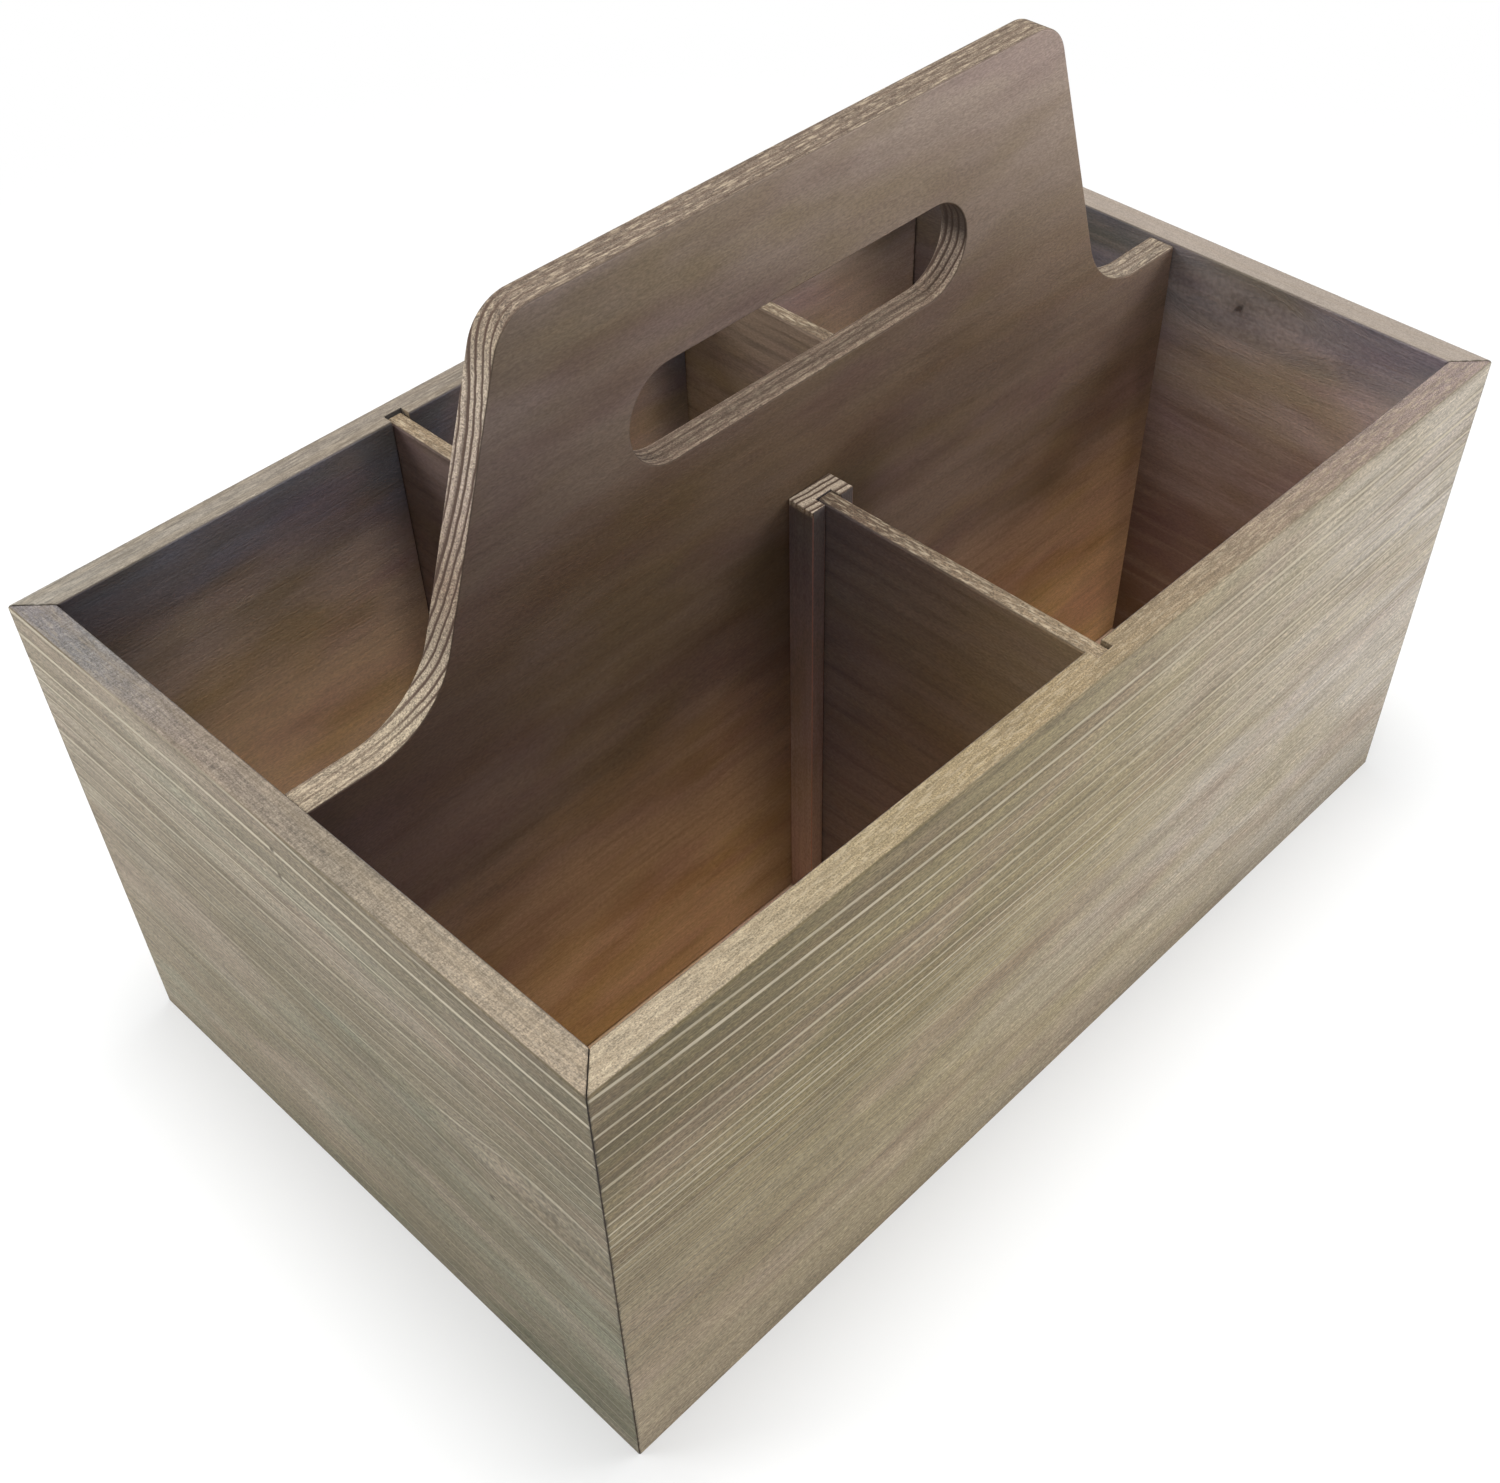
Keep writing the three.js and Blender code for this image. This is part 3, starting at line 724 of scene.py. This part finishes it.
# Left and right end walls
# The same boards, shorter, with plain inner faces. The mitres close on the long
# walls with a fine dark glue line.
left_wood = dict(
    wall_wood, along=(0, 1, 0), through=(-1, 0, 0), heart=(-145, 0, 164), ring=(0.2, 5.2, 200, 3),
    knots=[((-165, -84, 89), 3.5, 40, 8)], pin_knots=[(-165, -1, 146), (-165, -1, 137.5), (-165, -60, 72)],
    face_shares=[(0, "#6a6652"), (0.3, "#7e745f"), (0.6, "#8f8370"), (1, "#afa594")],
    # On this face the drift is painted light, paler towards the far end and the top, and the dark lean is
    # painted shade at the top of the near corner.
    drift=(0, 2.3, 2), drift_from=-0.25, leans=[("#6b5c44", (0, -6, 6), -0.9, 0.6)],
    hue_shares=[("#8d927f", 0.3), ("#a08f80", 0.4)],
    streak_shares=[("#a39c8a", 0.5, 0.7, 0.3), ("#766c5a", 0.46, 0.3, 0.35)],
    line="#c6bca6", line_share=0.95, line_fade=(40, 90, 0.3),
    edge_shares=[(0, "#928471"), (0.16, "#8d806e"), (0.4, "#796f61"), (0.65, "#7a6e63"), (0.87, "#73706e"),
                 (1, "#76706f")],
    edge_slope=(0, 4.9, 0), pitted_shares=[("fibre", 0.3), ("grit", 0.35), ("saw mark", 0.2)],
    fleck_shares=[("chip", "#a89c8a", 0.3), ("pore", "#5f5445", 0.3)], corners=((0, 20, 0.3),),
)
finish_piece(
    wall_board(CADDY_WIDTH, []), "left_end_board", (-CADDY_LENGTH / 2, 0, 0), -math.pi / 2,
    "caddy_frame", "left_end_wall", "brushed stained softwood, left end", left_wood,
)
right_wood = dict(
    wall_wood, along=(0, 1, 0), through=(1, 0, 0), heart=(118, 0, 186), ring=(0, 4.2, 90, 2.6),
    knots=[((156.5, -29.4, 142.5), 3.6, 30, 8)], knot="#33241f", knot_share=0.75,
    drift=(0, 1.5, 0), drift_from=0.1, line="#c9bea6", line_share=0.8, line_fade=(50, 130, 0.3),
    edge_shares=[(0, "#9a8f84"), (1, "#93877c")], edge_slope=(0, 4.9, 0), edge_line_share=0.1,
    pitted_shares=[("fibre", 0.08), ("grit", 0.16)], fleck_shares=[],
    inside=[(5, "#755f55"), (66, "#7f6a62"), (100, "#a4928c"), (122, "#b5a49d"), (140, "#9a9190"),
            (154, "#7c797c")],
    # Inside, painted light makes it lighter towards the front and darker behind the handle board.
    inside_light_slope=(0, -9, 0), inside_light_slope_from=0.85, wisp="#c9b3a6", wisp_share=0.2,
    corners=((0, 30, 0.12),), corner_shade_rise_share=0,
)
finish_piece(
    wall_board(CADDY_WIDTH, []), "right_end_board", (CADDY_LENGTH / 2, 0, 0), math.pi / 2,
    "caddy_frame", "right_end_wall", "brushed stained softwood, right end", right_wood,
)

# Base panel
# A thin softwood panel let into the rebates of the four walls, flush with their
# feet. Its upper face is the floor of every compartment.
BASE_INSET = WALL_THICKNESS - REBATE_DEPTH + GLUE_LINE


def plain_board(size, middle):
    """A board with plain faces, by its size and its middle."""
    bm = bmesh.new()
    bmesh.ops.create_cube(bm, size=1)
    bmesh.ops.scale(bm, verts=bm.verts, vec=size)
    bmesh.ops.translate(bm, verts=bm.verts, vec=middle)
    return bm


base_board = plain_board((CADDY_LENGTH - 2 * BASE_INSET, CADDY_WIDTH - 2 * BASE_INSET, BASE_THICKNESS),
                         (0, 0, BASE_THICKNESS / 2))
ease(base_board, base_board.edges[:], CRISP_ARRIS, 1)
base_wood = dict(
    wall_wood, along=(1, 0, 0), through=(0, 0, -1), heart=(0, 135, 40), ring=(0, 3.4, 200, 3),
    face_shares=[(0, "#8f8069"), (0.5, "#a08f76"), (1, "#ae9e85")],
    line="#c0b294", line_share=0.4, line_fade=(140, 180, 0.3),
    inside=[(0, "#cfb08e"), (10, "#d6bb99")], sanded_from=-BASE_THICKNESS, mitred=False, corners=(),
)
finish_piece(
    base_board, "base_board", (0, 0, 0), 0, "caddy_frame", "base_panel",
    "thinly stained softwood panel", base_wood,
)

# Handle board
# One softwood board down the middle of the box, as long as the inside of it. It
# is sawn to a round-topped handle with an oblong hand slot, sweeps down to flat
# shoulders, and is sanded along every edge. Its ends are glued to the end walls.
BOARD_THICKNESS = 8.5
BOARD_TOP = 242
CROWN_RADIUS = 12
SWEEP_RADIUS = 26
SHOULDER_FLAT = 18
BOARD_SLOPE = math.radians(19.5)
SLOT_LENGTH = 115
SLOT_HEIGHT = 26
SLOT_CENTRE = 198
TONGUE_LENGTH = 3
TONGUE_TOP = 141
SWEEP_STEPS = 24
HANDLE_ARRIS = 0.5


def setback(radius):
    """How far a round corner of the handle begins from where its straight sides would meet."""
    return radius * math.tan((math.pi / 2 - BOARD_SLOPE) / 2)


def arc(bm, start, centre, turn):
    """Draws a round of the outline from a corner, and gives its last corner."""
    spun = bmesh.ops.spin(
        bm, geom=[start], cent=(centre[0], 0, centre[1]), axis=(0, 1, 0), angle=turn, steps=SWEEP_STEPS,
    )
    return corners_of(spun["geom_last"])[0]


def line(bm, start, to):
    """Draws a straight of the outline from a corner to a point, and gives its last corner."""
    end = bm.verts.new((to[0], 0, to[1]))
    bm.edges.new((start, end))
    return end


def handle_board():
    """The board standing along X with its middle on Y = 0. One half is drawn and the other mirrored."""
    shoulder_end = INNER_LENGTH / 2 - MITRE_LINE
    tongue_end = shoulder_end + TONGUE_LENGTH
    sweep_x = shoulder_end - SHOULDER_FLAT
    slope_foot = sweep_x - setback(SWEEP_RADIUS)
    slope_head = slope_foot - (BOARD_TOP - SHOULDER_TOP) * math.tan(BOARD_SLOPE)
    crown_x = slope_head - setback(CROWN_RADIUS)
    foot_x = sweep_x - SWEEP_RADIUS * math.cos(BOARD_SLOPE)
    foot_z = SHOULDER_TOP + SWEEP_RADIUS * (1 - math.sin(BOARD_SLOPE))
    round_turn = math.pi / 2 - BOARD_SLOPE
    slot_reach = (SLOT_LENGTH - SLOT_HEIGHT) / 2
    slot_bottom = SLOT_CENTRE - SLOT_HEIGHT / 2
    bm = bmesh.new()
    first = bm.verts.new((0, 0, BOARD_TOP))
    pen = line(bm, first, (crown_x, BOARD_TOP))
    pen = arc(bm, pen, (crown_x, BOARD_TOP - CROWN_RADIUS), round_turn)
    pen = line(bm, pen, (foot_x, foot_z))
    pen = arc(bm, pen, (sweep_x, SHOULDER_TOP + SWEEP_RADIUS), -round_turn)
    for to in ((shoulder_end, SHOULDER_TOP), (shoulder_end, TONGUE_TOP), (tongue_end, TONGUE_TOP),
               (tongue_end, LEDGE_HEIGHT), (0, LEDGE_HEIGHT), (0, slot_bottom), (slot_reach, slot_bottom)):
        pen = line(bm, pen, to)
    pen = arc(bm, pen, (slot_reach, SLOT_CENTRE), -math.pi)
    pen = line(bm, pen, (0, slot_bottom + SLOT_HEIGHT))
    bm.edges.new((pen, first))
    bmesh.ops.contextual_create(bm, geom=bm.edges)
    other = bmesh.ops.duplicate(bm, geom=bm.verts[:] + bm.edges[:] + bm.faces[:])["geom"]
    bmesh.ops.scale(bm, verts=corners_of(other), vec=(-1, 1, 1))
    bmesh.ops.remove_doubles(bm, verts=bm.verts, dist=SAME_PLACE)
    bmesh.ops.recalc_face_normals(bm, faces=bm.faces)
    raise_outline(bm, bm.faces[:], (0, BOARD_THICKNESS, 0))
    bmesh.ops.translate(bm, verts=bm.verts, vec=(0, -BOARD_THICKNESS / 2, 0))
    bmesh.ops.recalc_face_normals(bm, faces=bm.faces)
    ease(bm, sharp_edges(bm), HANDLE_ARRIS, ARRIS_STEPS)
    return bm


board_wood = dict(
    wall_wood, along=(1, 0, 0), through=(0, -1, 0), heart=(0, 140, 212), ring=(0, 2.2, 200, 2),
    edge_shares=[(0, "#7f7264"), (0.02, "#8f816e"), (0.04, "#9c8f7a"), (0.2, "#a19280"), (0.36, "#8c7867"),
                 (0.6, "#a8978a"), (0.85, "#b0a190"), (0.95, "#8c7d6b"), (1, "#6f6154")],
    edge_slope=(-0.13, 0, 11.2), edge_from=-1.71, pitted_shares=[("fibre", 0.3), ("grit", 0.5)],
    fleck_shares=[("chip", "#c6b59b", 0.5), ("pore", "#4c3d2e", 0.45)],
    # The board's underside colour is painted shade on its edges that face down or sideways, as in the hand
    # slot.
    ring_line="#49352a", edge_line_share=0.45, end_line_share=0.95, underside_shade="#362b25", underside_shade_share=0.85,
    # The reddish arris colour is a painted highlight on the eased arrises below the sanded top edges.
    sanded_from=146, arris="#3f3226", arris_share=0.6, wear_and_highlight="#a0705f",
    # The pale warm tones low down on the board are painted bounce light from the compartment floors.
    inside=[(5, "#d4ba98"), (40, "#c8af8f"), (54, "#bda487"), (90, "#a28a77"), (112, "#837062"),
            (146, "#6f5d50"), (168, "#74604d"), (195, "#79685a"), (242, "#8f7f74")],
    # Inside, painted light makes it lighter towards the right end.
    inside_light_slope=(1.5, 0, 0), inside_light_slope_from=1.15, both_sides_inside=True, mitred=False,
    # The dark purple tint at the left end is painted shade by the left end wall.
    inside_tints_and_shade=[("#3c2c36", (-8, 0, 2), -0.85, 0.8), ("#d8c4b4", (3, 0, 5), -1, 0.6)],
    inside_cloud_shares=[("streak", 0.1), ("patch", 0.25), ("cloud", 0.08)],
    inside_brushed_shares=[("pore", 0.16), ("fibre", 0.06)],
    inside_line="#54402f", inside_line_share=0.08, wisp="#493a2e", wisp_share=0.2,
    corners=((-inner_half_length, 14, 0.2), (front_place, 38, 0.45), (inner_half_length, 14, 0.15)),
    back_corners=tuple((place, 30, 0.5) for place in back_places), corner_shade_rise_share=0.2,
)
finish_piece(
    handle_board(), "handle_board_sawn", (0, 0, 0), 0, "caddy_frame", "handle_board",
    "stained softwood, handle board", board_wood,
)

# Cleats
# Three short strips glued upright against the handle board, each with a groove
# down its middle that holds the inner edge of a divider. Their tops show end grain.
CLEAT_WIDTH = 15
CLEAT_THICKNESS = 8.5
CLEAT_ARRIS = 0.35
CLEAT_ARRIS_STEPS = 2
CLEAT_HEART = 70
BOARD_FACE = BOARD_THICKNESS / 2 + MITRE_LINE
strip_wood = dict(
    board_wood, underside_shade_share=0, inside_light_slope=(0, 0, 0), inside_light_slope_from=1, inside_tints_and_shade=[],
    corners=(), back_corners=(),
)


def cleat_strip():
    """A cleat standing against Y = 0 with its groove towards -Y."""
    half, groove = CLEAT_WIDTH / 2, GROOVE_WIDTH / 2
    front, bottom = -CLEAT_THICKNESS, GROOVE_DEPTH - CLEAT_THICKNESS
    plan = [(-half, front), (-groove, front), (-groove, bottom), (groove, bottom), (groove, front),
            (half, front), (half, 0), (-half, 0)]
    bm = bmesh.new()
    bm.faces.new([bm.verts.new((x, y, LEDGE_HEIGHT)) for x, y in plan])
    raise_outline(bm, bm.faces[:], (0, 0, SHOULDER_TOP - LEDGE_HEIGHT))
    bmesh.ops.recalc_face_normals(bm, faces=bm.faces)
    ease(bm, sharp_edges(bm), CLEAT_ARRIS, CLEAT_ARRIS_STEPS)
    return bm


for name, node, place, side in (("front_cleat_strip", "front_cleat", front_place, -1),
                                ("back_left_cleat_strip", "back_left_cleat", back_places[0], 1),
                                ("back_right_cleat_strip", "back_right_cleat", back_places[1], 1)):
    cleat_wood = dict(
        strip_wood, along=(0, 0, 1), through=(0, side, 0), heart=(place, -CLEAT_HEART * side, 0),
        ring=(0.3, 2.1, 200, 2), edge_shares=[(0, "#b5a592"), (1, "#b5a592")],
        # The reddish arris colour is a painted highlight down the cleat's eased arrises.
        sanded_from=152, arris_share=0.8, wear_and_highlight="#b07565", wisp_share=0.1,
        # Paler low down: painted bounce light, as on the walls.
        inside=[(5, "#b89e92"), (60, "#a29089"), (100, "#8b7876"), (153, "#6c6361")],
    )
    finish_piece(
        cleat_strip(), name, (place, side * BOARD_FACE, 0), 0 if side < 0 else math.pi,
        "caddy_frame", node, "stained softwood, " + node.replace("_", " "), cleat_wood,
    )

# Dividers
# Three thin softwood boards that stand loose in the grooves and lift straight
# out. Their top edges are rounded over and sanded pale.
GROOVE_PLAY = 0.4
DIVIDER_ROUND = 0.8
DIVIDER_HEART = 90
# Divider tones by height; where a divider is paler low down, that is painted bounce light, as on the walls.
TONE_HEIGHTS = (5, 84, 123, 153)
# The grey tint towards the cleat is painted shade; the pale warm one lies towards the front wall.
FRONT_DIVIDER_TINTS_AND_SHADE = [("#b3986a", (0, -11, 0), -0.2, 0.55), ("#5c6068", (0, 14, 0), 0.9, 0.5)]
wall_end = inner_half_width + GROOVE_DEPTH - GROOVE_PLAY
cleat_end = BOARD_FACE + CLEAT_THICKNESS - GROOVE_DEPTH + GROOVE_PLAY


def divider_board():
    """A divider standing along Y in front of the handle board, from the cleat's groove to the wall's."""
    bm = plain_board((DIVIDER_THICKNESS, wall_end - cleat_end, SHOULDER_TOP - LEDGE_HEIGHT),
                     (0, -(wall_end + cleat_end) / 2, (SHOULDER_TOP + LEDGE_HEIGHT) / 2))
    top_arrises = [
        edge for edge in bm.edges
        if all(corner.co.z > SHOULDER_TOP - SAME_PLACE for corner in edge.verts)
        and edge.verts[0].co.x * edge.verts[1].co.x > 0
    ]
    ease(bm, top_arrises, DIVIDER_ROUND, ARRIS_STEPS)
    ease(bm, sharp_edges(bm), CRISP_ARRIS, 1)
    return bm


for name, node, place, side, leans, tones in (
    ("front_divider_board", "front_divider", front_place, -1, FRONT_DIVIDER_TINTS_AND_SHADE,
     ("#8e7b72", "#7d6c67", "#7c6c63", "#75645e")),
    ("back_left_divider_board", "back_left_divider", back_places[0], 1, [],
     ("#8e7b72", "#776664", "#766660", "#75645e")),
    ("back_right_divider_board", "back_right_divider", back_places[1], 1, [],
     ("#968678", "#9a8572", "#a08c78", "#83705f")),
):
    divider_wood = dict(
        strip_wood, along=(0, 1, 0), through=(-1, 0, 0), heart=(place + DIVIDER_HEART, 0, 100),
        ring=(0, 2, 200, 2), edge_slope=(0, 5, 0), edge_from=0.5,
        edge_shares=[(0, "#87765e"), (0.2, "#756552"), (0.38, "#5e4e3f"), (0.62, "#5e4e3f"),
                     (0.8, "#756552"), (1, "#87765e")],
        fleck_shares=[("chip", "#c6b79d", 0.5)], edge_line_share=0.2, sanded_from=151,
        inside=list(zip(TONE_HEIGHTS, tones)), inside_tints_and_shade=leans, inside_line_share=0.12,
        wisp="#2f2521", wisp_share=0.45, corners=((0, 28, 0.12),), corner_shade_rise_share=0,
    )
    finish_piece(
        divider_board(), name, (place, 0, 0), 0 if side < 0 else math.pi,
        node + "_body", node, "stained softwood, " + node.replace("_", " "), divider_wood,
    )

# Table, studio light and camera
# A white table that runs on without an edge, a broad lamp overhead, a weaker one
# on either side and even light from all round. The caddy is seen from above its
# near left corner. Places are in metres here, the lens and its sensor in mm.
TABLE_HALF_WIDTH = 8
TABLE_WHITE = "#f4f5f5"
SHADOW_NEAR = 0.3
SHADOW_FAR = 0.6
NEAR_WHITE_SHARE = 0.45
bm = bmesh.new()
bmesh.ops.create_grid(bm, x_segments=1, y_segments=1, size=TABLE_HALF_WIDTH)
table_mesh = bpy.data.meshes.new("table")
bm.to_mesh(table_mesh)
bm.free()
table = bpy.data.objects.new("table", table_mesh)
bpy.context.scene.collection.objects.link(table)

# Matt white paint with the box's soft shadow, which runs out into plain white further off
table_paint = bpy.data.materials.new("white table, matt")
table_paint.use_nodes = True
tree = table_paint.node_tree
tree.nodes.clear()
matt = add(tree, "BsdfDiffuse", {"Color": colour(TABLE_WHITE)})
white = add(tree, "Emission")
away = add(tree, "VectorMath", {0: add(tree, "TexCoord", out=3)}, operation="LENGTH")
away = add(tree, "MapRange", {"Value": away, "From": (SHADOW_NEAR, SHADOW_FAR),
                              "To": (NEAR_WHITE_SHARE, 1)})
seen = add(tree, "Math", {0: add(tree, "LightPath", out=0), 1: away}, operation="MULTIPLY")
top = add(tree, "MixShader", {0: seen, 1: matt, 2: white})
tree.links.new(top, tree.nodes.new("ShaderNodeOutputMaterial").inputs["Surface"])
table_mesh.materials.append(table_paint)

# The room is plain white where it is seen, and lights the box more weakly than that
ROOM_LIGHT = 0.37
room = bpy.data.worlds.new("even room light")
room.use_nodes = True
bpy.context.scene.world = room
tree = room.node_tree
tree.nodes.clear()
level = add(tree, "MapRange", {"Value": add(tree, "LightPath", out=0), "To": (ROOM_LIGHT, 1)})
sky = add(tree, "Background", {"Color": (1, 1, 1, 1), "Strength": level})
tree.links.new(sky, tree.nodes.new("ShaderNodeOutputWorld").inputs["Surface"])

# Each lamp by its place and its power in watts
LAMP_WIDTH = 0.5
LAMP_AIM = Vector((0, 0, 0.1))
LAMPS = {
    "overhead lamp": ((0, 0, 1.4), 15),
    "right lamp": ((0.75, -0.65, 0.5), 3),
    "left lamp": ((-0.75, 0.55, 0.5), 4),
}
for name, (place, power) in LAMPS.items():
    lamp_data = bpy.data.lights.new(name, "AREA")
    lamp_data.shape = "DISK"
    lamp_data.size = LAMP_WIDTH
    lamp_data.energy = power
    lamp = bpy.data.objects.new(name, lamp_data)
    lamp.location = place
    lamp.rotation_mode = "QUATERNION"
    lamp.rotation_quaternion = (lamp.location - LAMP_AIM).to_track_quat("Z", "Y")
    bpy.context.scene.collection.objects.link(lamp)

# The camera's place, direction and lens are fitted to the photograph
CAMERA_PLACE = (-0.28086, -0.26725, 0.44242)
CAMERA_TURN = math.radians(45.0425)
CAMERA_DIP = math.radians(-47.7154)
CAMERA_ROLL = math.radians(-1.2243)
SENSOR_WIDTH = 36
LENS_LENGTH = 44.81
SHIFT_SHARES = (-0.01166, 0.06626)
CLIP_RANGE = (0.01, 50)
camera_data = bpy.data.cameras.new("camera")
camera_data.sensor_width = SENSOR_WIDTH
camera_data.lens = LENS_LENGTH
camera_data.shift_x, camera_data.shift_y = SHIFT_SHARES
camera_data.clip_start, camera_data.clip_end = CLIP_RANGE
camera = bpy.data.objects.new("camera", camera_data)
camera.location = CAMERA_PLACE
flat_look = Vector((math.sin(CAMERA_TURN), math.cos(CAMERA_TURN), 0))
look = math.cos(CAMERA_DIP) * flat_look + Vector((0, 0, math.sin(CAMERA_DIP)))
camera.rotation_mode = "QUATERNION"
camera.rotation_quaternion = look.to_track_quat("-Z", "Y") @ Quaternion((0, 0, 1), CAMERA_ROLL)
bpy.context.scene.collection.objects.link(camera)
bpy.context.scene.camera = camera
bpy.context.scene.view_settings.view_transform = "Standard"
